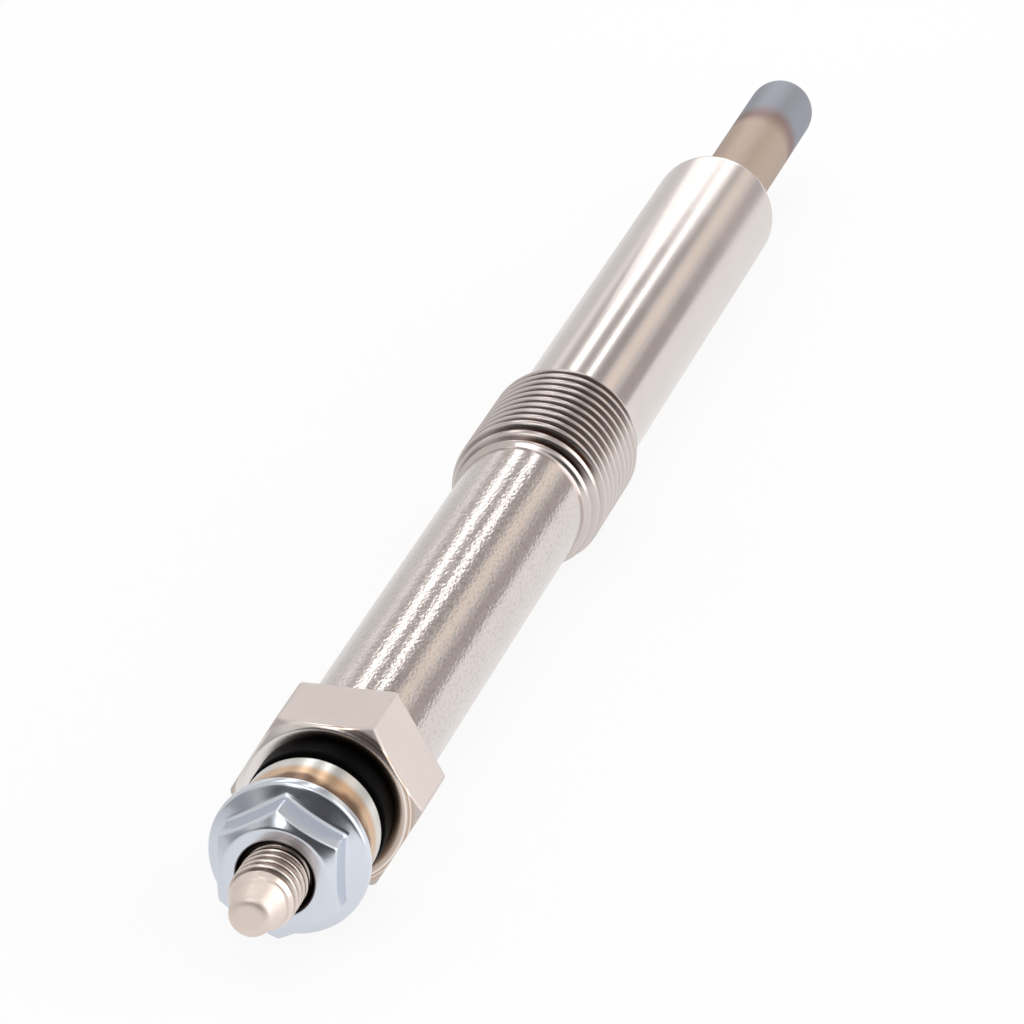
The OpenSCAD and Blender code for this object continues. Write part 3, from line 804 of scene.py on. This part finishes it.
def build_world(scene):
    """The studio round the plug: an even dome, long panels parallel to the plug behind it, and on the
    camera's side a dark room with round lamps. White where the camera looks past the floor."""
    world = bpy.data.worlds.new("studio")
    scene.world = world
    world.use_nodes = True
    tree = world.node_tree
    tree.nodes.clear()
    direction = add(tree, "ShaderNodeTexCoord").outputs["Generated"]
    axes = add(tree, "ShaderNodeSeparateXYZ", {0: direction}).outputs
    turn = add(tree, "ShaderNodeMath", {0: axes["X"], 1: axes["Z"]}, operation="ARCTAN2").outputs[0]
    behind = add(tree, "ShaderNodeMapRange", {"Value": axes["Y"], "From Min": 0.3, "From Max": 0.6}, **SMOOTH)
    light = rgba(DOME)
    for name, centre, half, edge, glow in PANELS:
        off = add(tree, "ShaderNodeMath", {0: turn, 1: math.radians(centre)}, operation="SUBTRACT")
        away = add(tree, "ShaderNodeMath", {0: off.outputs[0]}, operation="ABSOLUTE", label=name)
        inside = add(tree, "ShaderNodeMapRange",
                     {"Value": away.outputs[0], "From Min": math.radians(half + edge),
                      "From Max": math.radians(half)}, **SMOOTH)
        shown = add(tree, "ShaderNodeMath", {0: inside.outputs[0], 1: behind.outputs[0]},
                    operation="MULTIPLY")
        light = add(tree, "ShaderNodeMix", {0: shown.outputs[0], 6: light, 7: rgba(glow)},
                    data_type="RGBA").outputs[2]
    ahead = add(tree, "ShaderNodeMath", {0: axes["Y"], 1: -1.0}, operation="MULTIPLY")
    round_up = add(tree, "ShaderNodeMath", {0: axes["X"], 1: ahead.outputs[0]}, operation="ARCTAN2")
    height = add(tree, "ShaderNodeMath", {0: axes["Z"]}, operation="ARCSINE")
    squares = []
    for angle, middle, span in zip((round_up, height), ROOM_MIDDLE, ROOM_REACH):
        off = add(tree, "ShaderNodeMath", {0: angle.outputs[0], 1: math.radians(middle)},
                  operation="SUBTRACT")
        part = add(tree, "ShaderNodeMath", {0: off.outputs[0], 1: math.radians(span)}, operation="DIVIDE")
        square = add(tree, "ShaderNodeMath", {0: part.outputs[0], 1: 2.0}, operation="POWER")
        squares.append(square.outputs[0])
    spread = add(tree, "ShaderNodeMath", {0: squares[0], 1: squares[1]}, operation="ADD")
    room = add(tree, "ShaderNodeMapRange",
               {"Value": spread.outputs[0], "From Min": 1.3, "From Max": 0.7}, **SMOOTH)
    light = add(tree, "ShaderNodeMix", {0: room.outputs[0], 6: light, 7: rgba(DARK_ROOM)},
                data_type="RGBA").outputs[2]
    for name, towards, half, edge, glow in LAMPS:
        facing = add(tree, "ShaderNodeVectorMath", {0: direction, 1: Vector(towards).normalized()},
                     operation="DOT_PRODUCT", label=name)
        inside = add(tree, "ShaderNodeMapRange",
                     {"Value": facing.outputs["Value"], "From Min": math.cos(math.radians(half + edge)),
                      "From Max": math.cos(math.radians(half))}, **SMOOTH)
        light = add(tree, "ShaderNodeMix", {0: inside.outputs[0], 6: light, 7: rgba(glow)},
                    data_type="RGBA").outputs[2]
    path = add(tree, "ShaderNodeLightPath")
    seen = add(tree, "ShaderNodeMix", {0: path.outputs["Is Camera Ray"], 6: light,
                                       7: (1.0, 1.0, 1.0, 1.0)}, data_type="RGBA")
    sky = add(tree, "ShaderNodeBackground", {"Color": seen.outputs[2], "Strength": 1.0})
    add(tree, "ShaderNodeOutputWorld", {"Surface": sky.outputs[0]})


def build_tip_lamp(scene):
    """A soft box past the tip, so close that only the front shank mirrors it."""
    data = bpy.data.lights.new("tip_lamp", "AREA")
    data.shape = "RECTANGLE"
    data.size, data.size_y = TIP_LAMP_SIZE
    data.energy = 4 * TIP_LAMP_GLOW * data.size * data.size_y
    lamp = bpy.data.objects.new("tip_lamp", data)
    lamp.location = TIP_LAMP_PLACE
    towards = Vector((0.0, MOUTH, AXIS_Z)) - TIP_LAMP_PLACE
    lamp.rotation_euler = towards.to_track_quat("-Z", "Y").to_euler()
    lamp.visible_camera = False
    scene.collection.objects.link(lamp)


def build_camera(scene):
    """A long lens that looks down the plug from its terminal end."""
    away = Vector((math.sin(CAMERA_AZIMUTH) * math.cos(CAMERA_ELEVATION),
                   -math.cos(CAMERA_AZIMUTH) * math.cos(CAMERA_ELEVATION), math.sin(CAMERA_ELEVATION)))
    data = bpy.data.cameras.new("camera")
    data.lens = CAMERA_LENS
    data.clip_start = 10 * MM
    camera = bpy.data.objects.new("camera", data)
    camera.location = CAMERA_AIM + away * CAMERA_DISTANCE
    camera.rotation_euler = (-away).to_track_quat("-Z", "Y").to_euler()
    scene.collection.objects.link(camera)
    scene.camera = camera


class GLOWPLUG_PT_panel(bpy.types.Panel):
    """Lists the pieces of the plug"""
    bl_idname = "GLOWPLUG_PT_panel"
    bl_label = "Glow Plug"
    bl_space_type = "VIEW_3D"
    bl_region_type = "UI"
    bl_category = "Glow Plug"

    def draw(self, context):
        for operator in OPERATORS:
            self.layout.operator(operator.bl_idname)
        for group in (context.scene.glow_plug_sizes, context.scene.glow_plug_colours):
            for name in group.__annotations__:
                self.layout.prop(group, name)


OPERATORS = (GLOWPLUG_OT_body, GLOWPLUG_OT_sheath, GLOWPLUG_OT_centre_rod, GLOWPLUG_OT_bush,
             GLOWPLUG_OT_nuts, GLOWPLUG_OT_inner_pieces, GLOWPLUG_OT_stage)
CLASSES = (PlugSizes, PlugColours, *OPERATORS, GLOWPLUG_PT_panel)


def register():
    """Registers the classes and puts the sizes and colours on the scene."""
    for cls in CLASSES:
        bpy.utils.register_class(cls)
    bpy.types.Scene.glow_plug_sizes = bpy.props.PointerProperty(type=PlugSizes)
    bpy.types.Scene.glow_plug_colours = bpy.props.PointerProperty(type=PlugColours)


def unregister():
    """Takes away what register added."""
    del bpy.types.Scene.glow_plug_sizes
    del bpy.types.Scene.glow_plug_colours
    for cls in reversed(CLASSES):
        bpy.utils.unregister_class(cls)


def main():
    register()
    bpy.ops.glow_plug.body()
    bpy.ops.glow_plug.sheath()
    bpy.ops.glow_plug.centre_rod()
    bpy.ops.glow_plug.bush()
    bpy.ops.glow_plug.nuts()
    bpy.ops.glow_plug.inner_pieces()
    bpy.ops.glow_plug.stage()


if __name__ == "__main__":
    main()
